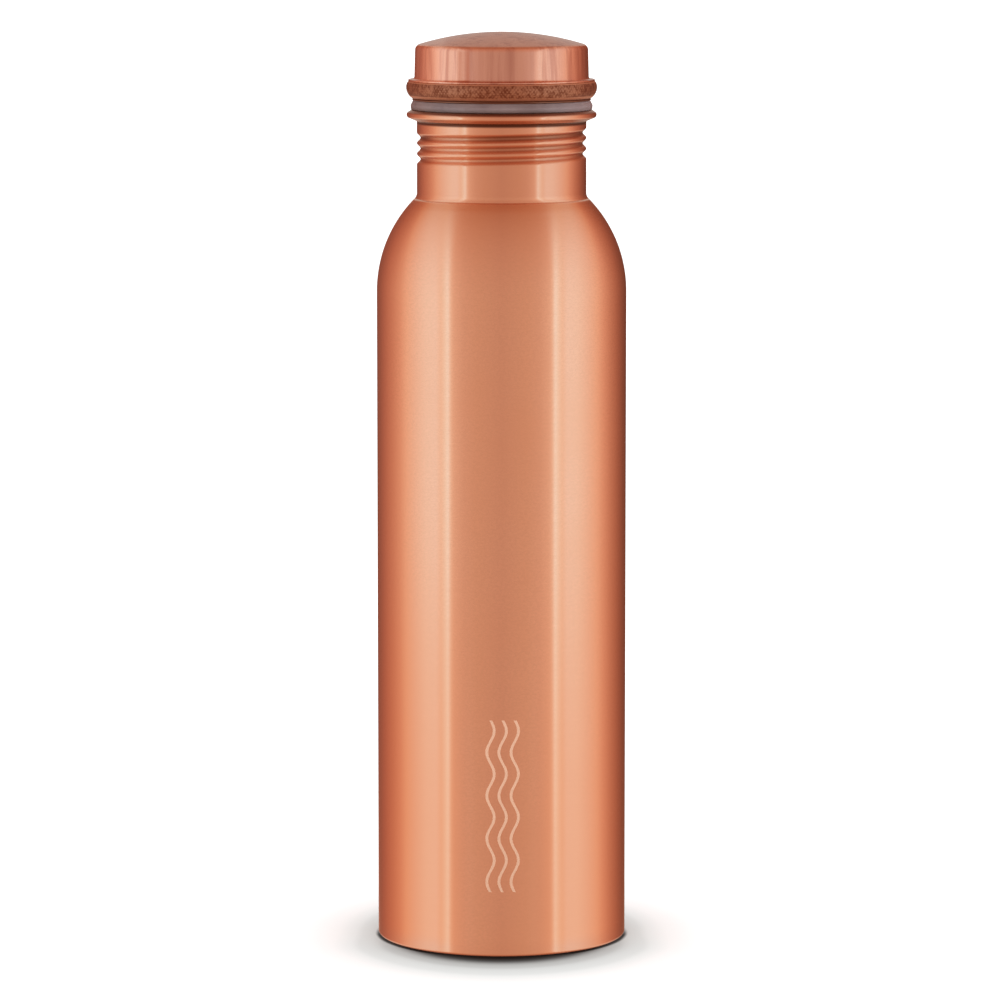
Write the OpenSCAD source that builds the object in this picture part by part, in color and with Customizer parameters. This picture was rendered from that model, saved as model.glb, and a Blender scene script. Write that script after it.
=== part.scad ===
// Copper water bottle with a screw cap.
// The cap's hollow plug screws into the rolled thread of the neck, and a silicone ring seals the mouth.
// +Z is up. The origin is the centre of the foot, on the surface that the bottle stands on.

/* [Body] */
// Outside diameter of the straight body
body_d = 75; // [70:0.5:80]
// Height at which the straight body starts to curve in
shoulder_z = 196; // [150:1:220]
// Radius of the shoulder's curve
shoulder_r = 39.6; // [38:0.2:46]
// Thickness of the copper sheet
sheet = 0.6; // [0.5:0.1:0.7]
// Radius of the foot's outer corner
foot_r = 1; // [0.8:0.1:1.4]
// Height of the recess under the base
recess_h = 5; // [4.5:0.5:8]

/* [Neck] */
// Outside diameter of the neck
neck_d = 50.8; // [48:0.2:53]
// Length of the neck, from the shoulder's crease to the top of the mouth
neck_h = 24.9; // [20:0.1:35]
// Radius of the crease between shoulder and neck
crease_r = 2.4; // [1:0.1:3]
// How far the mouth's folded lip stands out from the neck
lip_out = 3.05; // [2.6:0.05:3.4]

/* [Thread] */
// Pitch of the rolled thread
pitch = 3.2; // [3:0.1:3.4]
// Depth of the rolled groove
groove_depth = 1.1; // [0.8:0.1:1.1]
// Turns of the groove round the neck
neck_turns = 2.95; // [2:0.05:3]
// Running clearance between the neck and the plug
play = 0.3; // [0.25:0.05:0.4]

/* [Cap] */
// Height of the gasket
gasket_h = 2.8; // [2:0.1:4]
// Outside diameter of the cover's wall, halfway up
cover_d = 52; // [50:0.2:53]
// Height of the cover, from its foot flange to the top of the dome
cover_h = 14.7; // [13:0.1:20]
// Radius of the dome's curve
dome_r = 85; // [70:1:140]
// Radius of the corner between the dome and the wall
cover_corner_r = 2; // [1.5:0.1:3]
// Outside diameter of the knurled grip ring
grip_d = 57.2; // [56.6:0.1:58]
// Height of the grip ring
grip_h = 5.1; // [4.8:0.1:7]
// Depth of the plug below the mouth's top
plug_depth = 16.9; // [16:0.1:19]

/* [Hidden] */
$fn = 96;

COPPER = "#c8805c";
DARK_COPPER = "#7d4a30";
SILICONE = "#9c8880";

// Body and neck
body_r = body_d / 2;
neck_r = neck_d / 2;
bore_r = neck_r - sheet;
shoulder_mid = [body_r - shoulder_r, shoulder_z];
crease_angle = acos((neck_r + crease_r - shoulder_mid.x) / (shoulder_r + crease_r));
crease_mid = shoulder_mid + (shoulder_r + crease_r) * [cos(crease_angle), sin(crease_angle)];
mouth_z = crease_mid.y + neck_h;

// Hem of the foot: the wall, the base plate's flange and the turned-up hem lie side by side
plate = 0.5;
seam = 0.05;
flange_out_r = body_r - sheet - seam;
flange_in_r = flange_out_r - plate;
hem_out_r = flange_in_r - seam;
hem_in_r = hem_out_r - sheet;
hem_h = recess_h - 1;
plate_bend_r = 0.9;
plate_rise = 2;

// Mouth lip: the sheet flares out and is folded back on itself
lip_r = neck_r + lip_out;
lip_tip_r = 1;
lip_tip_z = mouth_z - 1.5;
lip_under_angle = -55;
lip_over_angle = 50;
lip_root_z = mouth_z - 3.65;
lip_flat_r = lip_r - 1.25;
mouth_edge_r = 0.5;

// Thread: the groove's angle grows with its height, anticlockwise seen from above
groove_top_angle = 1160;
groove_top_z = mouth_z - 6.1;
groove_low_angle = groove_top_angle - 360 * neck_turns;
fade_angle = 75;
thread_sides = 48;
thread_row = 0.4;
tuck = 0.1;
neck_thread_low = mouth_z - 17.2;
neck_thread_rows = 32;
neck_low_joint = neck_thread_low + thread_row / 2;
neck_high_joint = neck_thread_low + (neck_thread_rows - 0.5) * thread_row;

// Cap, from the gasket up
plug_r = bore_r - play;
plug_low_z = mouth_z - plug_depth;
lead_r = plug_r - groove_depth - 0.2;
lead_h = 1.6;
plug_groove_low_angle = -400;
plug_groove_top_angle = groove_top_angle + fade_angle;
plug_thread_rows = 33;
plug_joint = plug_low_z + (plug_thread_rows - 0.5) * thread_row;
flange_z = mouth_z + gasket_h;
grip_z = flange_z + sheet;
cover_z = grip_z + grip_h;
top_z = cover_z + cover_h;
grip_r = grip_d / 2;
grip_sheet = 0.7;
plug_flange_r = grip_r - 1.85;
plug_bottom_h = 2.4;
wall_flare = 0.1;
cover_low_r = cover_d / 2 + wall_flare;
cover_high_r = cover_d / 2 - wall_flare;
cover_flange_r = cover_low_r + 1.55;
cover_foot_r = 0.8;
cover_skirt = 5;

// An arc's points, anticlockwise from angle a0 to a1 about the point mid
function arc(mid, r, a0, a1, steps = 8) =
    [for (i = [0 : steps]) let (a = a0 + (a1 - a0) * i / steps) mid + r * [cos(a), sin(a)]];

// 0 below 0, 1 above 1 and smooth between
function smooth(t) = let (c = min(max(t, 0), 1)) c * c * (3 - 2 * c);

// Height of the groove's middle at a groove angle
function groove_z(angle) = groove_top_z + pitch * (angle - groove_top_angle) / 360;

// Share of the full depth at a groove angle: the groove runs out smoothly at both ends
function groove_share(angle, low, high) =
    smooth((angle - low) / fade_angle) * smooth((high - angle) / fade_angle);

// Shape of the groove across its width, 1 in its middle and 0 at a crest
function groove_shape(off) = abs(off) < pitch / 2 ? 0.5 + 0.5 * cos(360 * off / pitch) : 0;

// Depth of the groove at an angle from 0 to 360 and a height
function dip(angle, z, low, high) = groove_depth * max([
    for (turn = [-1 : 3])
        let (a = angle + 360 * turn)
        groove_share(a, low, high) * groove_shape(z - groove_z(a))
]);

// Outside radius of the neck and of the plug where they are threaded
function neck_thread_r(angle, z) = neck_r - dip(angle, z, groove_low_angle, groove_top_angle);
function lead_in_r(z) = lead_r + max(0, z - plug_low_z - lead_h);
function plug_thread_r(angle, z) =
    min(plug_r - dip(angle, z, plug_groove_low_angle, plug_groove_top_angle), lead_in_r(z));

module turned(points) {
    rotate_extrude() polygon(points);
}

// A sheet tube between outer and inner rings of points, each ring a list of [x, y, z]
module ring_tube(outer, inner) {
    rows = len(outer);
    sides = len(outer[0]);
    points = [for (side = [outer, inner], ring = side, p = ring) p];
    function at(side, row, i) = (side * rows + row) * sides + i % sides;
    faces = [
        for (row = [0 : rows - 2], i = [0 : sides - 1])
            each [
                [at(0, row, i), at(0, row + 1, i), at(0, row, i + 1)],
                [at(0, row, i + 1), at(0, row + 1, i), at(0, row + 1, i + 1)],
                [at(1, row, i), at(1, row, i + 1), at(1, row + 1, i)],
                [at(1, row, i + 1), at(1, row + 1, i + 1), at(1, row + 1, i)]
            ],
        for (i = [0 : sides - 1])
            each [
                [at(0, 0, i), at(0, 0, i + 1), at(1, 0, i)],
                [at(0, 0, i + 1), at(1, 0, i + 1), at(1, 0, i)],
                [at(0, rows - 1, i), at(1, rows - 1, i), at(0, rows - 1, i + 1)],
                [at(0, rows - 1, i + 1), at(1, rows - 1, i), at(1, rows - 1, i + 1)]
            ]
    ];
    polyhedron(points, faces);
}

// Rings for ring_tube: row by row, at the radius that a thread function gives, less an inset.
// The end rows that join a turned part are tucked into its wall by the signed amount tuck.
function rings(low_z, rows, inset, tuck, tuck_low, radius_at) = [
    for (row = [0 : rows])
        let (z = low_z + row * thread_row)
        let (in_wall = row > rows - 2 || (tuck_low && row < 2))
        let (tucked = inset + (in_wall ? tuck : 0))
        [for (i = [0 : thread_sides - 1])
            let (a = 360 * i / thread_sides, r = radius_at(a, z) - tucked)
            [r * cos(a), r * sin(a), z]]
];
neck_radius_at = function (a, z) neck_thread_r(a, z);
plug_radius_at = function (a, z) plug_thread_r(a, z);

// Outline of the shell below the thread, outside upwards and inside downwards
function shell_low_outline() = concat(
    arc([body_r - foot_r, foot_r], foot_r, -90, 0, 6),
    arc(shoulder_mid, shoulder_r, 0, crease_angle, 16),
    arc(crease_mid, crease_r, 180 + crease_angle, 180, 4),
    [[neck_r, neck_low_joint], [bore_r, neck_low_joint]],
    arc(crease_mid, crease_r + sheet, 180, 180 + crease_angle, 4),
    arc(shoulder_mid, shoulder_r - sheet, crease_angle, 0, 16),
    [
        [body_r - sheet, sheet],
        [hem_out_r, sheet],
        [hem_out_r, hem_h],
        [hem_in_r, hem_h]
    ],
    arc([hem_in_r + sheet, sheet], sheet, 180, 270, 4)
);

// Outline of the neck's top: a short plain band and the folded lip
function shell_top_outline() = concat(
    [[bore_r, neck_high_joint], [neck_r, neck_high_joint], [neck_r, lip_root_z]],
    arc([lip_r - lip_tip_r, lip_tip_z], lip_tip_r, lip_under_angle, lip_over_angle, 8),
    [[lip_flat_r, mouth_z]],
    arc([bore_r + mouth_edge_r, mouth_z - mouth_edge_r], mouth_edge_r, 90, 180, 5)
);

// Body, shoulder and neck in one sheet, with its rolled thread, mouth lip and hemmed foot
module bottle_shell() {
    color(COPPER)
    union() {
        turned(shell_low_outline());
        ring_tube(
            rings(neck_thread_low, neck_thread_rows, 0, tuck, true, neck_radius_at),
            rings(neck_thread_low, neck_thread_rows, sheet, -tuck, true, neck_radius_at)
        );
        turned(shell_top_outline());
    }
}

// Pressed bottom disc: a flange held in the foot's hem, and a web that rises to the middle
module base_plate() {
    web_r = flange_out_r - plate_bend_r;
    web_z = recess_h + plate;
    dome_sphere_r = (web_r * web_r + plate_rise * plate_rise) / (2 * plate_rise);
    dome_mid = [0, web_z + plate_rise - dome_sphere_r];
    dome_angle = 90 - asin(web_r / dome_sphere_r);
    bend_mid = [web_r, web_z - plate_bend_r];
    color(COPPER)
    turned(concat(
        [[flange_in_r, sheet + seam], [flange_out_r, sheet + seam]],
        arc(bend_mid, plate_bend_r, 0, 90, 5),
        arc(dome_mid, dome_sphere_r, dome_angle + 1, 90, 12),
        arc(dome_mid, dome_sphere_r - plate, 90, dome_angle + 1, 12),
        arc(bend_mid, plate_bend_r - plate, 90, 0, 4)
    ));
}

// Silicone ring between the mouth's lip and the plug's flange
module mouth_gasket() {
    in_r = plug_r + 0.6;
    edge = 0.4;
    bulge = 0.05;
    pinch = 0.35;
    color(SILICONE)
    turned([
        [in_r, mouth_z],
        [lip_flat_r - edge, mouth_z],
        [lip_flat_r, mouth_z + edge],
        [lip_flat_r + bulge, mouth_z + 0.4 * gasket_h],
        [lip_flat_r - pinch, flange_z - edge],
        [lip_flat_r - pinch - edge / 2, flange_z],
        [in_r, flange_z]
    ]);
}

// Outline of the cover's wall and dome, moved inwards by an inset, with a skirt that is cut off below
module cover_outline(inset) {
    corner_r = cover_corner_r - inset;
    dome = dome_r - inset;
    corner_x = cover_high_r - cover_corner_r;
    dome_mid_z = top_z - dome_r;
    corner_angle = acos(corner_x / (dome_r - cover_corner_r));
    corner_mid = [corner_x, dome_mid_z + (dome_r - cover_corner_r) * sin(corner_angle)];
    polygon(concat(
        [[0, cover_z - cover_skirt], [cover_low_r - inset, cover_z - cover_skirt]],
        [[cover_low_r - inset, cover_z + cover_foot_r]],
        arc(corner_mid, corner_r, 0, corner_angle, 6),
        arc([0, dome_mid_z], dome, corner_angle + 1, 90, 16)
    ));
}

// Domed cover with a straight wall and a small foot flange
module cap_cover() {
    foot_mid = [cover_low_r + cover_foot_r, cover_z + sheet + cover_foot_r];
    color(COPPER)
    rotate_extrude()
    difference() {
        union() {
            cover_outline(0);
            polygon(concat(
                [[cover_low_r - sheet, cover_z], [cover_flange_r, cover_z]],
                arc([cover_flange_r, cover_z + sheet / 2], sheet / 2, -60, 90, 5),
                arc(foot_mid, cover_foot_r, 270, 180, 5)
            ));
        }
        cover_outline(sheet);
        translate([0, cover_z - 2 * cover_skirt]) square([2 * cover_low_r, 2 * cover_skirt]);
    }
}

// Rolled channel between the cover's flange and the plug's flange, knurled outside
module grip_ring() {
    in_r = plug_r + 0.8;
    t = grip_sheet;
    belly_h = 0.65 * grip_h;
    belly_r = 0.75 * grip_h;
    brow_h = grip_h - belly_h;
    brow_r = 0.55 * grip_h;
    belly_mid = [grip_r - belly_r, grip_z + belly_h];
    brow_mid = [grip_r - brow_r, grip_z + belly_h];
    color(DARK_COPPER)
    turned(concat(
        [[in_r, grip_z]],
        arc(belly_mid, belly_r, -asin(belly_h / belly_r), 0, 8),
        arc(brow_mid, brow_r, 5, asin(brow_h / brow_r), 5),
        [[in_r, cover_z], [in_r, cover_z - t]],
        arc(brow_mid, brow_r - t, asin((brow_h - t) / (brow_r - t)), 5, 4),
        arc(belly_mid, belly_r - t, 0, -asin((belly_h - t) / (belly_r - t)), 6),
        [[in_r, grip_z + t]]
    ));
}

// Threaded tube with the flange that presses on the gasket
module cap_plug() {
    bend_r = 0.5;
    color(COPPER)
    union() {
        ring_tube(
            rings(plug_low_z, plug_thread_rows, 0, tuck, false, plug_radius_at),
            rings(plug_low_z, plug_thread_rows, sheet, -tuck, false, plug_radius_at)
        );
        turned(concat(
            [[plug_r - sheet, plug_joint], [plug_r, plug_joint]],
            arc([plug_r + bend_r, flange_z - bend_r], bend_r, 180, 90, 4),
            arc([plug_flange_r - sheet / 2, flange_z + sheet / 2], sheet / 2, -90, 90, 6),
            [[plug_r - sheet, flange_z + sheet]]
        ));
    }
}

// Pressed disc that closes the plug's lower end, its flange turned down
module plug_bottom() {
    out_r = lead_r - sheet - seam;
    bend_r = 0.9;
    low_z = plug_low_z + 0.1;
    web_z = plug_low_z + plug_bottom_h;
    color(COPPER)
    turned(concat(
        [[out_r - plate, low_z], [out_r, low_z]],
        arc([out_r - bend_r, web_z - bend_r], bend_r, 0, 90, 5),
        [[0, web_z], [0, web_z - plate]],
        arc([out_r - bend_r, web_z - bend_r], bend_r - plate, 90, 0, 4)
    ));
}

bottle_shell();
base_plate();
mouth_gasket();
cap_cover();
grip_ring();
cap_plug();
plug_bottom();
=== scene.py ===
import math

import bpy
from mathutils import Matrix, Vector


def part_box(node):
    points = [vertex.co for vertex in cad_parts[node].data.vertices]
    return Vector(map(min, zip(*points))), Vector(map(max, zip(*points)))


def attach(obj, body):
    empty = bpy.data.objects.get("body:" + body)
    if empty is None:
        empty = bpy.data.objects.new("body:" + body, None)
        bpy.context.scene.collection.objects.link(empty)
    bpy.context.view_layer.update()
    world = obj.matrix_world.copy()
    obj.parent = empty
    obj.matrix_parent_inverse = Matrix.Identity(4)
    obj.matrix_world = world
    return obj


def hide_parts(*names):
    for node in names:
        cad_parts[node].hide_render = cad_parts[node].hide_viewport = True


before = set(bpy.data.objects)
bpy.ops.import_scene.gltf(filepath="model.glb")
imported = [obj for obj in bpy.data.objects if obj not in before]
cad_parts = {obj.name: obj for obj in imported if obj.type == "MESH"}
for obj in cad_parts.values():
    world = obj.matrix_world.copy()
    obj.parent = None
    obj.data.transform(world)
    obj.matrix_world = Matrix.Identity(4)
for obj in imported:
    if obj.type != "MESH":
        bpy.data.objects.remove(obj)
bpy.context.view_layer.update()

# Lengths are in millimetres, as in the CAD source. lathe() and the materials turn them into metres.
MM = 0.001


# ---------------------------------------------------------------- sizes

def box_mm(node):
    """A CAD node's largest radius, lowest height and highest height."""
    low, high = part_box(node)
    return high.x / MM, low.z / MM, high.z / MM


BODY_R, _, MOUTH_Z = box_mm("bottle_shell")
PLATE_R, PLATE_Z, PLATE_TOP = box_mm("base_plate")
GASKET_R, GASKET_Z, GASKET_TOP = box_mm("mouth_gasket")
COVER_R, COVER_Z, TOP_Z = box_mm("cap_cover")
GRIP_R, GRIP_Z, GRIP_TOP = box_mm("grip_ring")
PLUG_R, PLUG_Z, PLUG_TOP = box_mm("cap_plug")

SHEET = 0.6
# The two pressed discs are thinner than the sheet, are bent down at the edge and stand in a fine seam
DISC_SHEET, DISC_BEND, SEAM = 0.5, 0.9, 0.05

SHOULDER_Z, SHOULDER_R = 196.0, 39.6
FOOT_R = 1.0
NECK_R = 25.4
BORE_R = NECK_R - SHEET
CREASE_R = 2.4
SHOULDER_MID = (BODY_R - SHOULDER_R, SHOULDER_Z)
CREASE_ANGLE = math.degrees(math.acos((NECK_R + CREASE_R - SHOULDER_MID[0]) / (SHOULDER_R + CREASE_R)))
CREASE_Z = SHOULDER_Z + SHOULDER_R * math.sin(math.radians(CREASE_ANGLE))
LIP_R = NECK_R + 3.05

PITCH, GROOVE_DEPTH = 3.2, 1.1
GROOVE_TOP_Z = MOUTH_Z - 6.1
GROOVE_TOP_ANGLE, GROOVE_TURNS, FADE_ANGLE = 1160, 2.95, 75
GROOVE_LOW_ANGLE = GROOVE_TOP_ANGLE - 360 * GROOVE_TURNS
NECK_THREAD = (MOUTH_Z - 17.2, MOUTH_Z - 4.0)
PLUG_THREAD = (PLUG_Z, PLUG_Z + 13.2)
PLUG_LOW_ANGLE, PLUG_TOP_ANGLE = -400, GROOVE_TOP_ANGLE + FADE_ANGLE
PLAY = 0.3
PLUG_TUBE_R = BORE_R - PLAY
LEAD_R, LEAD_H = BORE_R - GROOVE_DEPTH - PLAY - 0.2, 1.6

DOME_R, CORNER_R = 85.0, 2.0
COVER_HIGH_R, COVER_LOW_R = 25.9, 26.1

# The grip ring's outline is a belly below a tighter brow; the knurl fades out at its two edges
GRIP_H = GRIP_TOP - GRIP_Z
BELLY_H, BELLY_R, BROW_R = 0.65 * GRIP_H, 0.75 * GRIP_H, 0.55 * GRIP_H
KNURL_TEETH, KNURL_LEAN, KNURL_DEPTH = 168, 1.35, 0.07
KNURL_LOW, KNURL_HIGH, KNURL_FADE = GRIP_Z + 0.9, GRIP_TOP - 0.25, 0.4


# ---------------------------------------------------------------- mesh tools

def polar(mid, r, angle):
    """The point of a circle about mid at an angle in degrees."""
    return mid[0] + r * math.cos(math.radians(angle)), mid[1] + r * math.sin(math.radians(angle))


def arc(mid, r, a0, a1, steps):
    """Points of an arc about mid, from angle a0 to a1 in degrees."""
    return [polar(mid, r, a0 + (a1 - a0) * i / steps) for i in range(steps + 1)]


def line(p, q, step):
    """Points from p to q, both left out, about step apart."""
    n = max(1, round(math.dist(p, q) / step))
    return [(p[0] + (q[0] - p[0]) * i / n, p[1] + (q[1] - p[1]) * i / n) for i in range(1, n)]


def lathe(name, outline, sides, radius_at=None):
    """A smooth closed mesh turned about Z from a closed outline of (radius, height).
    A stretch of the outline with radius 0 is the axis.
    radius_at(angle in degrees, radius, height) may give a point another radius."""
    points, faces, rings = [], [], []
    for r, z in outline:
        if r < 1e-6:
            rings.append([len(points)])
            points.append((0, 0, z * MM))
            continue
        rings.append(list(range(len(points), len(points) + sides)))
        for i in range(sides):
            angle = 360 * i / sides
            at = radius_at(angle, r, z) if radius_at else r
            points.append((*polar((0, 0), at * MM, angle), z * MM))
    for one, two in zip(rings, rings[1:] + rings[:1]):
        if len(one) == 1 and len(two) == 1:
            continue
        for i in range(sides):
            j = (i + 1) % sides
            quad = [one[i % len(one)], one[j % len(one)], two[j % len(two)], two[i % len(two)]]
            faces.append(list(dict.fromkeys(quad)))
    mesh = bpy.data.meshes.new(name)
    mesh.from_pydata(points, [], faces)
    mesh.polygons.foreach_set("use_smooth", [True] * len(faces))
    mesh.validate()
    mesh.update()
    piece = bpy.data.objects.new(name, mesh)
    bpy.context.scene.collection.objects.link(piece)
    return piece


# ---------------------------------------------------------------- screw thread

def smooth(t):
    """A soft step from 0 to 1 while t goes from 0 to 1."""
    t = min(max(t, 0.0), 1.0)
    return t * t * (3 - 2 * t)


def dip(angle, z, low, high):
    """Depth of the rolled groove at an angle and a height; low and high are the groove's end angles."""
    deepest = 0.0
    for turn in range(-1, 4):
        a = angle + 360 * turn
        off = z - GROOVE_TOP_Z - PITCH * (a - GROOVE_TOP_ANGLE) / 360
        if abs(off) < PITCH / 2:
            share = smooth((a - low) / FADE_ANGLE) * smooth((high - a) / FADE_ANGLE)
            deepest = max(deepest, share * (0.5 + 0.5 * math.cos(2 * math.pi * off / PITCH)))
    return GROOVE_DEPTH * deepest


def neck_radius(angle, r, z):
    """The groove is rolled into the neck's sheet, outside and inside alike."""
    threaded = r < NECK_R + 0.01 and NECK_THREAD[0] < z < NECK_THREAD[1]
    return r - dip(angle, z, GROOVE_LOW_ANGLE, GROOVE_TOP_ANGLE) if threaded else r


def plug_radius(angle, r, z):
    """The plug's groove runs out past the neck's at both ends. The lead-in at the plug's lower end
    is narrower than the thread's crests, inside and outside."""
    if not PLUG_Z <= z < PLUG_THREAD[1]:
        return r
    inset = PLUG_TUBE_R - r
    threaded = PLUG_TUBE_R - dip(angle, z, PLUG_LOW_ANGLE, PLUG_TOP_ANGLE)
    return min(threaded, LEAD_R + max(0.0, z - PLUG_Z - LEAD_H)) - inset


# ---------------------------------------------------------------- pieces

def lip_outline():
    """The folded mouth lip, from the root under it, round its tip and over the rim into the bore."""
    root_r, root_z = 0.5, MOUTH_Z - 3.75
    tip_r, tip_z = 1.0, MOUTH_Z - 1.5
    seat_r, seat_x = 0.4, LIP_R - 1.55
    rim_r = 0.5
    outline = arc((NECK_R + root_r, root_z), root_r, 180, 125, 5)
    outline += arc((LIP_R - tip_r, tip_z), tip_r, -55, 50, 12)
    outline += arc((seat_x, MOUTH_Z - seat_r), seat_r, 55, 90, 4)
    return outline + arc((BORE_R + rim_r, MOUTH_Z - rim_r), rim_r, 90, 180, 8)


def hem_outline():
    """The foot's hem: the sheet turned in at the bottom and up inside the base plate's flange."""
    out_r = BODY_R - SHEET - 2 * SEAM - DISC_SHEET
    in_r, top_z = out_r - SHEET, PLATE_Z + 3.35
    outline = [(BODY_R - SHEET, SHEET), (out_r, SHEET)]
    outline += arc(((out_r + in_r) / 2, top_z - SHEET / 2), SHEET / 2, 0, 180, 6)
    return outline + arc((in_r + SHEET, SHEET), SHEET, 180, 270, 6)


def make_shell():
    """Body, shoulder, neck with its thread, lip and hem in one sheet."""
    low_z, high_z = NECK_THREAD
    crease_mid = polar(SHOULDER_MID, SHOULDER_R + CREASE_R, CREASE_ANGLE)
    inner_r = BODY_R - SHEET
    outline = arc((BODY_R - FOOT_R, FOOT_R), FOOT_R, -90, 0, 10)
    outline += line((BODY_R, FOOT_R), (BODY_R, SHOULDER_Z), 24)
    outline += arc(SHOULDER_MID, SHOULDER_R, 0, CREASE_ANGLE, 48)
    outline += arc(crease_mid, CREASE_R, 180 + CREASE_ANGLE, 180, 8)
    outline += line((NECK_R, crease_mid[1]), (NECK_R, low_z), 2)
    outline += [(NECK_R, low_z)] + line((NECK_R, low_z), (NECK_R, high_z), 0.16) + [(NECK_R, high_z)]
    outline += lip_outline()
    outline += [(BORE_R, high_z)] + line((BORE_R, high_z), (BORE_R, low_z), 0.32) + [(BORE_R, low_z)]
    outline += arc(crease_mid, CREASE_R + SHEET, 180, 180 + CREASE_ANGLE, 6)
    outline += arc(SHOULDER_MID, SHOULDER_R - SHEET, CREASE_ANGLE, 0, 32)
    outline += line((inner_r, SHOULDER_Z), (inner_r, SHEET), 24)
    outline += hem_outline()
    return lathe("bottle_body", outline, 256, neck_radius)


def make_base_plate():
    """A shallow domed disc with its edge bent down."""
    rise = 2.0
    web_r, web_z = PLATE_R - DISC_BEND, PLATE_TOP - rise
    sphere = (web_r ** 2 + rise ** 2) / (2 * rise)
    mid = (0, web_z + rise - sphere)
    tilt = 90 - math.degrees(math.asin(web_r / sphere))
    bend_mid = (web_r, web_z - DISC_BEND)
    outline = [(PLATE_R - DISC_SHEET, PLATE_Z), (PLATE_R, PLATE_Z)]
    outline += arc(bend_mid, DISC_BEND, 0, 90, 8)
    outline += arc(mid, sphere, tilt + 1, 90, 20)
    outline += arc(mid, sphere - DISC_SHEET, 90, tilt + 1, 20)
    outline += arc(bend_mid, DISC_BEND - DISC_SHEET, 90, 0, 6)
    return lathe("base_disc", outline, 192)


def make_gasket():
    """A flat ring that bulges a little outward where it is squeezed."""
    in_r, edge, bulge = PLUG_TUBE_R + 0.6, 0.35, 0.9
    bulge_z = GASKET_Z + 0.42 * (GASKET_TOP - GASKET_Z)
    outline = [(in_r, GASKET_Z)]
    outline += arc((GASKET_R - edge - 0.1, GASKET_Z + edge), edge, -90, -10, 5)
    outline += arc((GASKET_R - bulge, bulge_z), bulge, -15, 40, 6)
    outline += arc((GASKET_R - bulge - 0.05, GASKET_TOP - edge), edge, 20, 90, 5)
    outline += [(in_r, GASKET_TOP)]
    return lathe("silicone_seal", outline, 256)


def make_cover():
    """Foot flange, straight wall, rounded corner and dome, and the same inside."""
    foot_r = 0.8
    corner_x = COVER_HIGH_R - CORNER_R
    turn = math.degrees(math.acos(corner_x / (DOME_R - CORNER_R)))
    dome_mid = (0, TOP_Z - DOME_R)
    corner_mid = (corner_x, polar(dome_mid, DOME_R - CORNER_R, turn)[1])
    wall_low = (COVER_LOW_R, COVER_Z + SHEET + foot_r)
    wall_high = (COVER_HIGH_R, corner_mid[1])
    outline = arc((COVER_R - SHEET / 2, COVER_Z + SHEET / 2), SHEET / 2, -60, 90, 8)
    outline += arc((COVER_LOW_R + foot_r, COVER_Z + SHEET + foot_r), foot_r, 270, 180, 8)
    outline += line(wall_low, wall_high, 1)
    outline += arc(corner_mid, CORNER_R, 0, turn, 12)
    outline += arc(dome_mid, DOME_R, turn + 0.5, 90, 28)[:-1] + [(0, TOP_Z)]
    outline += [(0, TOP_Z - SHEET)] + arc(dome_mid, DOME_R - SHEET, 90, turn + 0.5, 16)[1:]
    outline += arc(corner_mid, CORNER_R - SHEET, turn, 0, 8)
    outline += [(COVER_LOW_R - SHEET, COVER_Z)]
    return lathe("cap_dome", outline, 256)


def grip_radius(angle, r, z):
    """Shallow crossed knurling on the ring's outside, more worn in places."""
    if r < GRIP_R - 1.6 or not KNURL_LOW < z < KNURL_HIGH:
        return r
    turn = math.radians(angle)
    rise = KNURL_TEETH * angle / 360
    lean = (z - KNURL_LOW) / KNURL_LEAN
    one = 0.5 + 0.5 * math.cos(2 * math.pi * (rise + lean))
    two = 0.5 + 0.5 * math.cos(2 * math.pi * (rise - lean))
    worn = 0.65 + 0.35 * math.sin(7 * turn + 1.3 * z) * math.sin(19 * turn - 2.1 * z)
    edge = smooth((z - KNURL_LOW) / KNURL_FADE) * smooth((KNURL_HIGH - z) / KNURL_FADE)
    return r - KNURL_DEPTH * edge * worn * (1 - one * two)


def make_grip():
    """A rolled ring, round outside, finely divided where it is knurled."""
    sheet, step = 0.7, 0.13
    in_r = PLUG_TUBE_R + 0.8
    belly_mid = (GRIP_R - BELLY_R, GRIP_Z + BELLY_H)
    brow_mid = (GRIP_R - BROW_R, GRIP_Z + BELLY_H)
    brow_h = GRIP_H - BELLY_H

    def angle_at(height, radius):
        return math.degrees(math.asin(height / radius))

    low = angle_at(BELLY_H, BELLY_R)
    high = angle_at(brow_h, BROW_R)
    low_steps = round(math.radians(low) * BELLY_R / step)
    high_steps = round(math.radians(high) * BROW_R / step)
    outline = [(in_r, GRIP_Z)] + arc(belly_mid, BELLY_R, -low, 0, low_steps)
    outline += arc(brow_mid, BROW_R, high / high_steps, high, high_steps - 1)
    outline += [(in_r, GRIP_TOP), (in_r, GRIP_TOP - sheet)]
    outline += arc(brow_mid, BROW_R - sheet, angle_at(brow_h - sheet, BROW_R - sheet), 5, 4)
    outline += arc(belly_mid, BELLY_R - sheet, 0, -angle_at(BELLY_H - sheet, BELLY_R - sheet), 5)
    outline += [(in_r, GRIP_Z + sheet)]
    return lathe("knurled_ring", outline, 1200, grip_radius)


def make_plug():
    """A threaded tube with the flange that presses on the gasket."""
    bend = 0.5
    flange_z = PLUG_TOP - SHEET
    high = PLUG_THREAD[1]
    out_r, in_r = PLUG_TUBE_R, PLUG_TUBE_R - SHEET
    outline = [(in_r, PLUG_Z), (out_r, PLUG_Z)]
    outline += line((out_r, PLUG_Z), (out_r, high), 0.16) + [(out_r, high)]
    outline += arc((out_r + bend, flange_z - bend), bend, 180, 90, 6)
    outline += arc((PLUG_R - SHEET / 2, flange_z + SHEET / 2), SHEET / 2, -90, 90, 10)
    outline += [(in_r, PLUG_TOP), (in_r, high)] + line((in_r, high), (in_r, PLUG_Z), 0.32)
    return lathe("threaded_plug", outline, 256, plug_radius)


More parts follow.
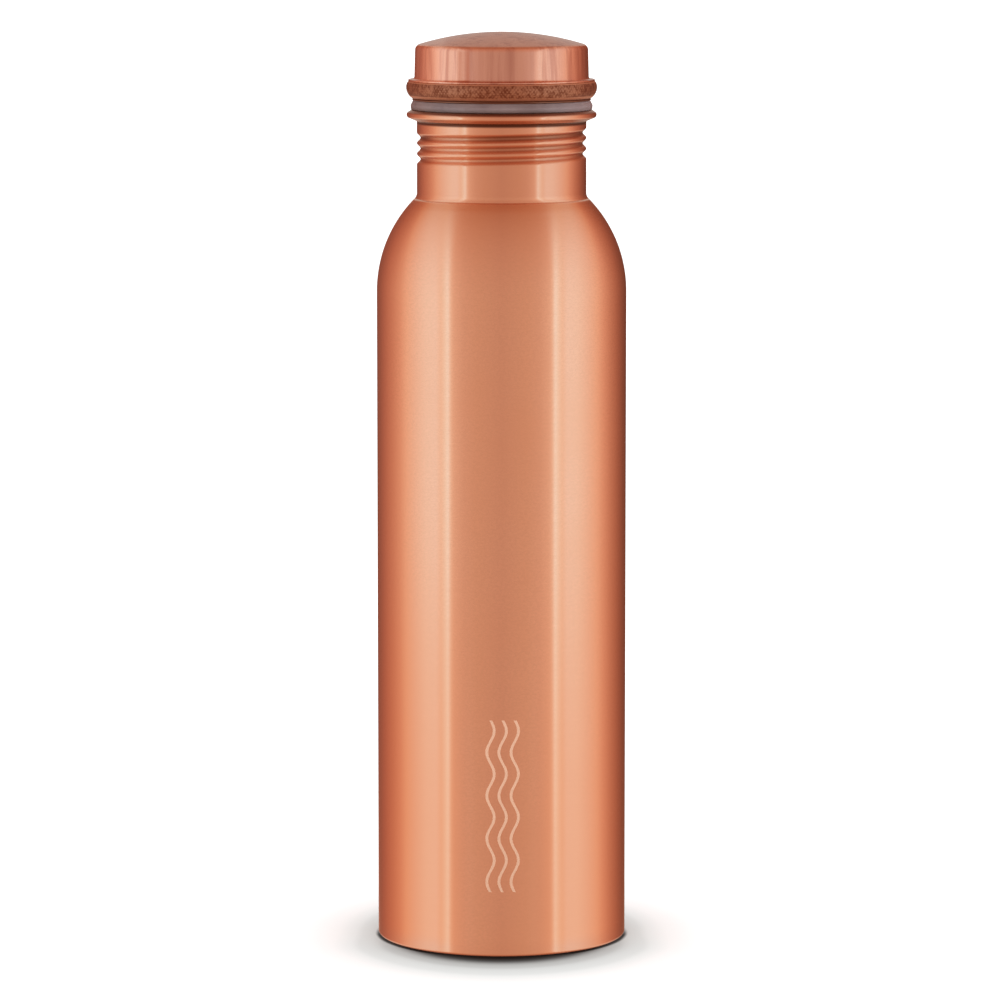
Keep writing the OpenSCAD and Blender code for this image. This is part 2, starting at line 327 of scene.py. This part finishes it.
def make_plug_bottom():
    """A flat disc with its edge bent down, inside the plug's lead-in."""
    out_r, low_z, web_z = LEAD_R - SHEET - SEAM, PLUG_Z + 0.1, PLUG_Z + 2.4
    mid = (out_r - DISC_BEND, web_z - DISC_BEND)
    outline = [(out_r - DISC_SHEET, low_z), (out_r, low_z)]
    outline += arc(mid, DISC_BEND, 0, 90, 8)
    outline += [(0, web_z), (0, web_z - DISC_SHEET)]
    outline += arc(mid, DISC_BEND - DISC_SHEET, 90, 0, 6)
    return lathe("plug_disc", outline, 192)


# ---------------------------------------------------------------- materials

class Nodes:
    """A small helper that makes and joins shader nodes."""

    def __init__(self, tree):
        self.tree = tree
        tree.nodes.clear()

    def make(self, kind, inputs=(), **settings):
        node = self.tree.nodes.new(kind)
        for key, value in settings.items():
            setattr(node, key, value)
        for key, value in dict(inputs).items():
            if isinstance(value, bpy.types.NodeSocket):
                self.tree.links.new(value, node.inputs[key])
            else:
                node.inputs[key].default_value = value
        return node

    def math(self, operation, a, b=0.0):
        return self.make("ShaderNodeMath", {0: a, 1: b}, operation=operation).outputs[0]

    def plus(self, a, b):
        return self.math("ADD", a, b)

    def minus(self, a, b):
        return self.math("SUBTRACT", a, b)

    def times(self, first, *others):
        for other in others:
            first = self.math("MULTIPLY", first, other)
        return first

    def size(self, a):
        return self.math("ABSOLUTE", a)

    def length(self, a, b):
        """The length of the vector (a, b)."""
        return self.math("SQRT", self.plus(self.times(a, a), self.times(b, b)))

    def noise(self, vector, scale, detail=2.0, rough=0.5):
        inputs = {"Vector": vector, "Scale": scale, "Detail": detail, "Roughness": rough}
        return self.make("ShaderNodeTexNoise", inputs).outputs["Fac"]

    def spread(self, value, low, high, to_low, to_high):
        """A value taken smoothly from the range low..high to the range to_low..to_high."""
        inputs = {0: value, 1: low, 2: high, 3: to_low, 4: to_high}
        return self.make("ShaderNodeMapRange", inputs, interpolation_type="SMOOTHSTEP").outputs[0]

    def near(self, value, place, full, none, most):
        """most where value is within full of place, falling to 0 at a distance of none."""
        return self.spread(self.size(self.minus(value, place)), full, none, most, 0)

    def mix(self, share, a, b, blend="MIX"):
        inputs = {0: share, 6: a, 7: b}
        return self.make("ShaderNodeMix", inputs, data_type="RGBA", blend_type=blend).outputs[2]

    def tint(self, a, b):
        """Two colours multiplied."""
        return self.mix(1.0, a, b, "MULTIPLY")

    def ramp(self, value, stops):
        node = self.make("ShaderNodeValToRGB", {0: value})
        elements = node.color_ramp.elements
        while len(elements) > 1:
            elements.remove(elements[-1])
        elements[0].position, elements[0].color = stops[0][0], (*stops[0][1], 1)
        for place, colour in stops[1:]:
            elements.new(place).color = (*colour, 1)
        return node.outputs["Color"]


COPPER = (0.93, 0.455, 0.29)
COVER_COPPER = (0.89, 0.405, 0.275)
RING_COPPER = (0.74, 0.32, 0.19)
# Stains, painted shade and painted highlights, each laid over the copper by a mask
# dark patina, also laid as painted shade in the thread and along the grip ring's lower edge
PATINA_AND_SHADE = (0.22, 0.060, 0.030, 1)
# painted shade under the lip, on its seat and in the seam above the gasket
PAINTED_SHADE = (0.120, 0.036, 0.020, 1)
# painted shade on the shoulder below the crease
SHOULDER_SHADE = (0.885, 0.395, 0.235, 1)
# painted shade down the body
LOWER_SHADE = (0.875, 0.362, 0.205, 1)
# painted shade above the foot and on the neck
SHADED_COPPER = (0.83, 0.37, 0.23, 1)
# painted highlight along the crease under the neck
CREASE_HIGHLIGHT = (0.99, 0.57, 0.40, 1)
# painted shade on the front and back of the cover's wall
COVER_SHADE = (0.775, 0.385, 0.285, 1)
# painted highlight on the cover's left side
COVER_HIGHLIGHT = (0.98, 0.50, 0.36, 1)
# a darker strip on the cover's wall, and painted shade at its right side
DARK_STRIP = (0.71, 0.27, 0.17, 1)
ETCHED = (1.0, 0.64, 0.46, 1)


def new_material(name):
    material = bpy.data.materials.new(name)
    material.use_nodes = True
    return material, Nodes(material.node_tree)


def coordinates(n):
    """The place on the object in millimetres, whole and as x, y and z."""
    place = n.make("ShaderNodeTexCoord").outputs["Object"]
    where = n.make("ShaderNodeVectorMath", {0: place, "Scale": 1 / MM}, operation="SCALE").outputs[0]
    return where, *n.make("ShaderNodeSeparateXYZ", {0: where}).outputs


def stretched(n, x, y, along, round_scale, along_scale, detail=3.0):
    """Noise with one scale round the axis and another along the turned surface."""
    inputs = {0: n.times(x, round_scale), 1: n.times(y, round_scale), 2: n.times(along, along_scale)}
    return n.noise(n.make("ShaderNodeCombineXYZ", inputs).outputs[0], 1.0, detail, 0.6)


def drawing_marks(n, x, y, along):
    """Marks of deep drawing along Z: fine lines, and how worn they look."""
    fine = stretched(n, x, y, along, 0.52, 0.026, 4.0)
    wide = stretched(n, x, y, along, 0.15, 0.009, 2.0)
    return fine, n.times(n.spread(fine, 0.40, 0.62, 0, 1), n.spread(wide, 0.38, 0.62, 0.25, 1))


def copper_material(name, roughness, anisotropy, colour=COPPER, streaks=0.0, mark=None, overlays=()):
    """Satin copper brushed round the axis. streaks is the strength of drawing marks along Z.
    The list of (mask function, colour) pairs holds stains and painted light and shade, and mark is the mask
    function of an etched motif."""
    material, n = new_material(name)
    where, x, y, z = coordinates(n)
    r = n.length(x, y)
    along = n.minus(z, r)
    fine = stretched(n, x, y, along, 0.06, 4.2)
    broad = stretched(n, x, y, along, 0.11, 1.5)
    grain = stretched(n, x, y, along, 1.1, 1.6, 2.0)
    clouds = n.noise(where, 0.022, 3.0, 0.55)

    deeper = [c * 0.93 for c in colour]
    cooler = [c * share for c, share in zip(colour, (0.98, 0.95, 0.92))]
    base = n.mix(n.spread(grain, 0.3, 0.7, 0, 0.8), (*colour, 1), (*deeper, 1))
    base = n.mix(n.spread(clouds, 0.35, 0.7, 0, 0.7), base, (*cooler, 1))
    rough = n.spread(n.plus(broad, clouds), 0.7, 1.3, roughness - 0.02, roughness + 0.02)
    height = n.plus(n.plus(n.times(fine, 0.3), n.times(broad, 0.3)), n.times(grain, 0.4))
    metallic = 1.0

    for overlay, overlay_colour in overlays:
        base = n.mix(overlay(n, x, y, z, r), base, overlay_colour)
    if streaks:
        lines, worn = drawing_marks(n, x, y, along)
        base = n.mix(n.times(worn, streaks), base, n.tint(base, (0.72, 0.60, 0.60, 1)))
        height = n.plus(height, n.times(lines, 3.0 * streaks))
    if mark:
        mask = mark(n, x, y, z, r)
        base = n.mix(mask, base, ETCHED)
        rough = n.plus(rough, n.times(mask, 0.25))
        metallic = n.minus(1.0, n.times(mask, 0.35))

    bump = n.make("ShaderNodeBump", {"Strength": 0.014, "Distance": 0.2 * MM, "Height": height})
    tangent = n.make("ShaderNodeTangent", direction_type="RADIAL", axis="Z")
    shader = n.make("ShaderNodeBsdfPrincipled", {
        "Base Color": base, "Metallic": metallic, "Roughness": rough, "Anisotropic": anisotropy,
        "Anisotropic Rotation": 0.25, "Normal": bump.outputs[0], "Tangent": tangent.outputs[0]})
    n.make("ShaderNodeOutputMaterial", {0: shader.outputs[0]})
    return material


# Masks: each gives 0 to 1 from the place on the object and its distance r from the axis

def groove_patina_and_shade(n, x, y, z, r):
    """Dark patina and painted shade down in the thread: more in its top turn and at the front."""
    low, high = NECK_THREAD
    depth = n.spread(r, NECK_R - GROOVE_DEPTH, NECK_R - 0.15, 1, 0)
    upper = n.spread(z, high - 9, high - 3, 0.4, 1)
    uneven = n.plus(n.spread(x, -12, 0, 0.42, 0.72), n.spread(x, -23.5, -19.5, 0.55, 0))
    threaded = n.spread(z, low, low + 1, 0, 1)
    outside = n.spread(r, BORE_R - 0.6, BORE_R - 0.5, 0, 1)
    return n.times(depth, upper, uneven, threaded, outside)


def lip_painted_shade(n, x, y, z, r):
    """Painted shade in the root under the folded lip, on its underside and on the seat where the gasket
    presses.
    """
    root = n.near(z, MOUTH_Z - 3.7, 0.2, 0.9, 1.0)
    under = n.times(
        n.spread(z, MOUTH_Z - 4.2, MOUTH_Z - 3.9, 0, 0.3), n.spread(z, MOUTH_Z - 2.5, MOUTH_Z - 1.9, 1, 0))
    seat = n.spread(z, MOUTH_Z - 1.3, MOUTH_Z - 0.5, 0, 0.75)
    outside = n.spread(r, NECK_R - 0.3, NECK_R - 0.2, 0, 1)
    return n.times(n.math("MAXIMUM", n.math("MAXIMUM", root, under), seat), outside)


def outside_neck(n, r):
    """1 on the outer face of the neck and the shoulder, 0 on the inner face of the neck."""
    return n.spread(r, BORE_R + 0.2, BORE_R + 0.3, 0, 1)


def crease_painted_highlight(n, x, y, z, r):
    """Painted highlight: brighter copper along the crease under the neck."""
    return n.times(n.near(z, CREASE_Z + 0.05, 0.1, 0.7, 0.9), outside_neck(n, r))


def shoulder_painted_shade(n, x, y, z, r):
    """Painted shade: a warmer, slightly darker band on top of the shoulder, just below the crease."""
    return n.times(n.near(z, CREASE_Z - 1.0, 0.4, 2.2, 1), outside_neck(n, r))


def foot_painted_shade(n, x, y, z, r):
    """Painted shade: the copper a little darker just above the foot, more so at the sides."""
    return n.times(n.spread(z, 0.8, 6.0, 1, 0), n.spread(n.size(x), 12, 20, 0.3, 1))


def lower_painted_shade(n, x, y, z, r):
    """Painted shade: the copper redder and darker down the body, away from the middle of its front and
    back, dimming the reflections there.
    """
    down = n.spread(z, 35, 155, 1, 0)
    away = n.spread(n.size(x), 8.5, 16, 0.05, 1)
    right = n.spread(x, 18, 30, 1, 0.6)
    outside = n.spread(r, BODY_R - 5, BODY_R - 4, 0, 1)
    return n.times(down, away, right, outside)


def neck_painted_shade(n, x, y, z, r):
    """Painted shade: the neck a little darker than the body, and its right side more so."""
    above = n.spread(z, CREASE_Z + 0.8, CREASE_Z + 2.2, 0, 1)
    outside = n.spread(r, NECK_R - GROOVE_DEPTH - 0.1, NECK_R - GROOVE_DEPTH, 0, 1)
    return n.times(above, outside, n.spread(x, -20, 12, 0.55, 1))


def knurl_patina_and_seam_shade(n, x, y, z, r):
    """Dark pits and rubbed peaks of the knurl, smooth copper above and below it, and painted shade along
    its lower edge by the gasket.
    """
    turn = n.times(n.math("ARCTAN2", y, x), KNURL_TEETH)
    lean = n.times(n.minus(z, KNURL_LOW), 2 * math.pi / KNURL_LEAN)
    one = n.plus(n.math("COSINE", n.plus(turn, lean)), 1.0)
    two = n.plus(n.math("COSINE", n.minus(turn, lean)), 1.0)
    where = n.make("ShaderNodeCombineXYZ", {0: x, 1: y, 2: z}).outputs[0]
    speckle = n.times(n.noise(where, 0.9, 4.0, 0.75), 9.0)
    worn = n.times(n.noise(where, 0.22, 2.0), 3.0)
    rubbed = n.plus(n.times(one, two, 0.35), n.plus(speckle, worn))
    pits = n.spread(rubbed, 5.0, 7.7, 1.0, 0.50)
    low = n.spread(z, KNURL_LOW - 0.2, KNURL_LOW + 0.3, 0.2, 1)
    high = n.spread(z, KNURL_HIGH - 0.3, KNURL_HIGH + 0.1, 1, 0.2)
    # painted shade in the gap along the ring's lower edge
    seam_shade = n.spread(z, GRIP_Z + 0.05, GRIP_Z + 0.35, 0.9, 0)
    return n.math("MAXIMUM", n.times(pits, low, high), seam_shade)


def cover_wall(n, z):
    """1 on the cover's wall, 0 on its dome."""
    return n.spread(z, TOP_Z - 5.6, TOP_Z - 4.4, 1, 0)


def cover_painted_shade(n, x, y, z, r):
    """Painted shade on the front and back of the cover's wall."""
    across = n.times(n.size(x), 1 / COVER_LOW_R)
    return n.times(n.spread(across, 0.34, 0.41, 1, 0), cover_wall(n, z))


def cover_painted_highlight(n, x, y, z, r):
    """Painted highlight: brighter copper on the cover's left side."""
    return n.spread(n.times(x, 1 / COVER_LOW_R), -0.68, -0.60, 1, 0)


def cover_strip_and_shade(n, x, y, z, r):
    """A darker strip along Z at the left of the cover's wall, and painted shade towards its right side."""
    across = n.times(x, 1 / COVER_LOW_R)
    strip = n.near(across, -0.43, 0.045, 0.085, 1)
    # painted shade towards the right side of the wall
    side = n.spread(across, 0.66, 0.80, 0, 0.3)
    return n.times(n.math("MAXIMUM", strip, side), cover_wall(n, z))


def seam_painted_shade(n, x, y, z, r):
    """Painted shade on the plug's flange, in the gap between the gasket and the grip ring."""
    high = n.spread(z, PLUG_TOP - SHEET - 0.2, PLUG_TOP - SHEET - 0.1, 0, 0.85)
    return n.times(high, n.spread(r, PLUG_R - 0.9, PLUG_R - 0.7, 0, 1))


def wave_mark(n, x, y, z, r):
    """The etched motif: three fine wavy lines that run up the front of the body."""
    low, high, fade = 19.5, 71.5, 0.3
    wave_length, wave_height, gap, half_width = 13, 1.1, 3.6, 0.42
    wave = n.times(n.math("SINE", n.times(z, 2 * math.pi / wave_length)), wave_height)
    middle = n.minus(n.minus(x, wave), 0.3)
    lines = 0.0
    for shift in (-gap, 0.0, gap):
        lines = n.math("MAXIMUM", lines, n.near(middle, shift, 0.7 * half_width, 1.3 * half_width, 1))
    inside = n.times(n.spread(z, low, low + fade, 0, 1), n.spread(z, high - fade, high, 1, 0))
    return n.times(lines, inside, n.math("LESS_THAN", y, 0.0))


def silicone_material():
    """Slightly translucent grey silicone, darker towards its lower edge, and painted paler on the right as
    painted light.
    """
    material, n = new_material("grey_silicone")
    where, x, _, z = coordinates(n)
    clouds = n.noise(where, 0.13, 3.0, 0.6)
    base = n.mix(n.spread(clouds, 0.3, 0.7, 0, 1), (0.19, 0.125, 0.12, 1), (0.145, 0.09, 0.087, 1))
    lower_edge = n.spread(z, GASKET_Z + 0.1, GASKET_Z + 1.3, 0.75, 0)
    base = n.mix(lower_edge, base, (0.085, 0.045, 0.038, 1))
    # painted light: the right side paler
    base = n.mix(n.spread(x, 10, 27, 0, 0.45), base, (0.27, 0.20, 0.21, 1))
    fine = n.noise(where, 0.9, 2.0)
    bump = n.make("ShaderNodeBump", {"Strength": 0.05, "Distance": 0.2 * MM, "Height": fine})
    shader = n.make("ShaderNodeBsdfPrincipled", {
        "Base Color": base, "Roughness": n.spread(clouds, 0.3, 0.7, 0.34, 0.46),
        "Subsurface Weight": 0.25, "Subsurface Radius": (1.0, 0.8, 0.7), "Subsurface Scale": 1.5 * MM,
        "Normal": bump.outputs[0]})
    n.make("ShaderNodeOutputMaterial", {0: shader.outputs[0]})
    return material


# ---------------------------------------------------------------- the bottle, put together

def dress(piece, body, slot, material, *nodes):
    """Gives a piece its material, the CAD body it rides on and the nodes it stands for; slot is not used.
    """
    piece.data.materials.append(material)
    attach(piece, body)
    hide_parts(*nodes)


# Patina, painted shade and a painted highlight laid over the body's copper
BODY_PATINA_AND_PAINTED_LIGHT = [
    (lower_painted_shade, LOWER_SHADE),
    (foot_painted_shade, SHADED_COPPER),
    (neck_painted_shade, SHADED_COPPER),
    (shoulder_painted_shade, SHOULDER_SHADE),
    (crease_painted_highlight, CREASE_HIGHLIGHT),
    (groove_patina_and_shade, PATINA_AND_SHADE),
    (lip_painted_shade, PAINTED_SHADE),
]
# A darker strip, painted shade and a painted highlight on the cover
COVER_STRIP_AND_PAINTED_LIGHT = [(cover_painted_shade, COVER_SHADE), (cover_painted_highlight, COVER_HIGHLIGHT), (cover_strip_and_shade, DARK_STRIP)]

body_copper = copper_material("body_copper", 0.20, 1.0, mark=wave_mark, overlays=BODY_PATINA_AND_PAINTED_LIGHT)
base_copper = copper_material("base_copper", 0.34, 0.6)
cover_copper = copper_material("cover_copper", 0.24, 0.5, COVER_COPPER, streaks=0.8, overlays=COVER_STRIP_AND_PAINTED_LIGHT)
plug_copper = copper_material("plug_copper", 0.30, 0.5, overlays=[(seam_painted_shade, PAINTED_SHADE)])
ring_copper = copper_material("ring_copper", 0.48, 0.0, RING_COPPER, overlays=[(knurl_patina_and_seam_shade, PATINA_AND_SHADE)])

dress(make_shell(), "bottle", "brushed_copper", body_copper, "bottle_shell")
dress(make_base_plate(), "bottle", "base_copper", base_copper, "base_plate")
dress(make_gasket(), "gasket", "silicone", silicone_material(), "mouth_gasket")
dress(make_cover(), "cap", "cap_copper", cover_copper, "cap_cover")
dress(make_grip(), "cap", "knurled_copper", ring_copper, "grip_ring")
dress(make_plug(), "cap", "plug_copper", plug_copper, "cap_plug")
dress(make_plug_bottom(), "cap", "plug_copper", plug_copper, "plug_bottom")


# ---------------------------------------------------------------- studio

# The contact shadow on the floor by distance, which is 1 at the sides of the foot and 50 mm in front
# of the axis: how much of the paper's own brightness is left
CONTACT_AHEAD = 50
CONTACT = [
    (0.760, 0.006),
    (0.800, 0.012),
    (0.835, 0.036),
    (0.860, 0.060),
    (0.880, 0.095),
    (0.900, 0.155),
    (0.920, 0.240),
    (0.945, 0.335),
    (0.970, 0.420),
    (1.000, 0.490),
    (1.030, 0.515),
    (1.060, 0.550),
    (1.100, 0.635),
    (1.140, 0.675),
    (1.240, 0.710),
    (1.300, 0.780),
    (1.450, 0.850),
    (1.700, 0.900),
    (1.950, 1.000),
]


def contact_shadow(n, x, y):
    """The soft shadow round the foot. Behind the foot it is shorter."""
    away = n.length(n.times(x, 1 / BODY_R), n.times(y, 1 / CONTACT_AHEAD))
    behind = n.spread(y, -30, 0, 0, 0.12)
    stops = []
    for place, grey in CONTACT:
        # the copper's own glow on the paper near the foot is toned down
        cooling = 0.06 * min(1.0, max(0.0, (1.45 - place) / 0.25))
        stops.append((place / 2, (grey * (1 - cooling), grey, grey)))
    return n.ramp(n.times(n.plus(away, behind), 0.5), stops)


def contact_shadow_line(n, x, y):
    """Mask of a painted contact shadow: the thin dark line where the foot meets the paper, at the sides of
    its front half.
    """
    reach = n.length(x, n.plus(y, 1.2))
    line_there = n.spread(reach, BODY_R - 0.1, BODY_R + 1.2, 0.9, 0)
    return n.times(line_there, n.spread(y, -6, 6, 1, 0.3), n.spread(n.size(x), 10, 24, 0, 1))


def make_floor():
    """White paper, matt, that metal doesn't mirror, with a painted contact shadow round the foot."""
    material, n = new_material("floor_paper")
    where, x, y, _ = coordinates(n)
    paper = n.mix(n.noise(where, 0.003, 2.0), (0.93, 0.93, 0.93, 1), (0.95, 0.95, 0.95, 1))
    # painted shadow: a black line at the sides of the foot's front half
    paper = n.mix(contact_shadow_line(n, x, y), paper, (0.0, 0.0, 0.0, 1))
    tone = n.tint(paper, contact_shadow(n, x, y))
    shader = n.make("ShaderNodeBsdfPrincipled", {
        "Base Color": tone, "Roughness": 0.9, "Specular IOR Level": 0.1})
    n.make("ShaderNodeOutputMaterial", {0: shader.outputs[0]})
    bpy.ops.mesh.primitive_circle_add(vertices=96, radius=4, fill_type="NGON")
    floor = bpy.context.object
    floor.name = "studio_floor"
    floor.data.materials.append(material)
    floor.visible_glossy = False


# The studio as metal sees it: what a surface shows when its normal points this far to the side
# (the sine of the angle). Softboxes stand at both sides, with a grey gap in front and dark flags behind.
STUDIO = [
    (0.00, (0.63, 0.505, 0.44)),
    (0.20, (0.69, 0.57, 0.49)),
    (0.30, (0.74, 0.635, 0.57)),
    (0.38, (0.85, 0.79, 0.73)),
    (0.405, (0.95, 1.00, 0.96)),
    (0.425, (1.06, 1.58, 1.92)),
    (0.445, (1.00, 1.30, 1.42)),
    (0.48, (0.97, 1.06, 1.05)),
    (0.52, (0.985, 1.22, 1.37)),
    (0.60, (0.98, 1.18, 1.28)),
    (0.68, (0.94, 0.995, 1.01)),
    (0.76, (0.91, 0.80, 0.70)),
    (0.81, (0.79, 0.57, 0.475)),
    (0.86, (0.68, 0.43, 0.34)),
    (0.91, (0.60, 0.32, 0.24)),
    (0.95, (0.47, 0.22, 0.16)),
    (1.00, (0.25, 0.09, 0.055)),
]
# Share of that light left at the outer ends of the two sides
FAR_LEFT, FAR_RIGHT = (0.88, 0.85, 0.86, 1), (0.62, 0.58, 0.55, 1)
# Share left when the normal points up by this sine
UPWARD = [
    (0.0, (1.00, 1.00, 1.00)),
    (0.20, (0.98, 0.95, 0.94)),
    (0.42, (0.93, 0.83, 0.80)),
    (0.57, (0.86, 0.70, 0.64)),
    (0.625, (0.81, 0.62, 0.54)),
    (0.655, (0.75, 0.52, 0.41)),
    (0.69, (0.72, 0.47, 0.34)),
    (0.80, (0.70, 0.52, 0.44)),
]
# And when it points down: warm light off the floor, then the bottle's own shadow
DOWNWARD = [
    (0.0, (1.00, 1.00, 1.00)),
    (0.10, (1.00, 0.97, 0.93)),
    (0.40, (1.00, 0.92, 0.82)),
    (0.60, (0.84, 0.63, 0.52)),
    (0.85, (0.35, 0.19, 0.14)),
]
# What faces straight up sees this instead
OVERHEAD = (0.50, 0.46, 0.43)
# The colours above are shares of this strength
METAL_LIGHT, WHITE_LIGHT = 2.5, 1.5
# The photograph looks down on the bottle by this many degrees. LOOK points back along that view.
LOOK_DOWN = 6.987
LOOK = (0, -math.cos(math.radians(LOOK_DOWN)), math.sin(math.radians(LOOK_DOWN)))


def softboxes(n):
    """The light that metal meets in a direction, drawn by the normal that mirrors LOOK there."""
    direction = n.make("ShaderNodeTexCoord").outputs["Generated"]
    halfway = n.make("ShaderNodeVectorMath", {0: direction, 1: LOOK}, operation="ADD").outputs[0]
    normal = n.make("ShaderNodeVectorMath", {0: halfway}, operation="NORMALIZE").outputs[0]
    side, back, rise = n.make("ShaderNodeSeparateXYZ", {0: normal}).outputs
    # near the outline the dark flags follow the compass angle, so that tilted surfaces darken there too
    compass = n.math("DIVIDE", side, n.math("MAXIMUM", n.length(side, back), 0.6))
    edge = n.spread(n.size(compass), 0.62, 0.90, 0, 0.85)
    side = n.plus(side, n.times(edge, n.minus(compass, side)))
    # surfaces that face down see the softboxes further out
    lean = n.times(n.math("MINIMUM", n.plus(rise, 0.3), 0.0), 0.8)
    around = n.math("MAXIMUM", n.plus(n.size(side), lean), 0.0)
    studio = n.ramp(around, [(place, [c / METAL_LIGHT for c in colour]) for place, colour in STUDIO])
    left = n.mix(n.spread(side, -0.97, -0.82, 1, 0), (1, 1, 1, 1), FAR_LEFT)
    studio = n.tint(studio, n.mix(n.spread(side, 0.80, 1.00, 0, 1), left, FAR_RIGHT))
    studio = n.tint(studio, n.ramp(rise, UPWARD))
    studio = n.tint(studio, n.ramp(n.times(rise, -1.0), DOWNWARD))
    overhead = (*[c / METAL_LIGHT for c in OVERHEAD], 1)
    return n.mix(n.spread(rise, 0.80, 0.97, 0, 1), studio, overhead)


def make_world():
    """White to the camera and to matt surfaces, and the studio's lights to metal."""
    world = bpy.data.worlds.new("studio")
    bpy.context.scene.world = world
    world.use_nodes = True
    world.cycles.sampling_method = "NONE"
    n = Nodes(world.node_tree)
    metal = n.make("ShaderNodeBackground", {"Color": softboxes(n), "Strength": METAL_LIGHT}).outputs[0]
    white = n.make("ShaderNodeBackground", {"Color": (1, 1, 1, 1), "Strength": WHITE_LIGHT}).outputs[0]
    glossy = n.make("ShaderNodeLightPath").outputs["Is Glossy Ray"]
    mixed = n.make("ShaderNodeMixShader", {0: glossy, 1: white, 2: metal})
    n.make("ShaderNodeOutputWorld", {0: mixed.outputs[0]})


def make_camera():
    """A long lens from about 1.5 m, as the photograph's perspective asks for."""
    data = bpy.data.cameras.new("camera")
    data.sensor_width = 36
    data.lens = 184.64
    data.clip_start, data.clip_end = 0.05, 50
    camera = bpy.data.objects.new("camera", data)
    camera.location = (-0.00048, -1.538, 0.3211)
    camera.rotation_euler = (math.radians(90 - LOOK_DOWN), 0, 0)
    bpy.context.scene.collection.objects.link(camera)
    bpy.context.scene.camera = camera


make_floor()
make_world()
make_camera()
bpy.context.scene.view_settings.view_transform = "Standard"
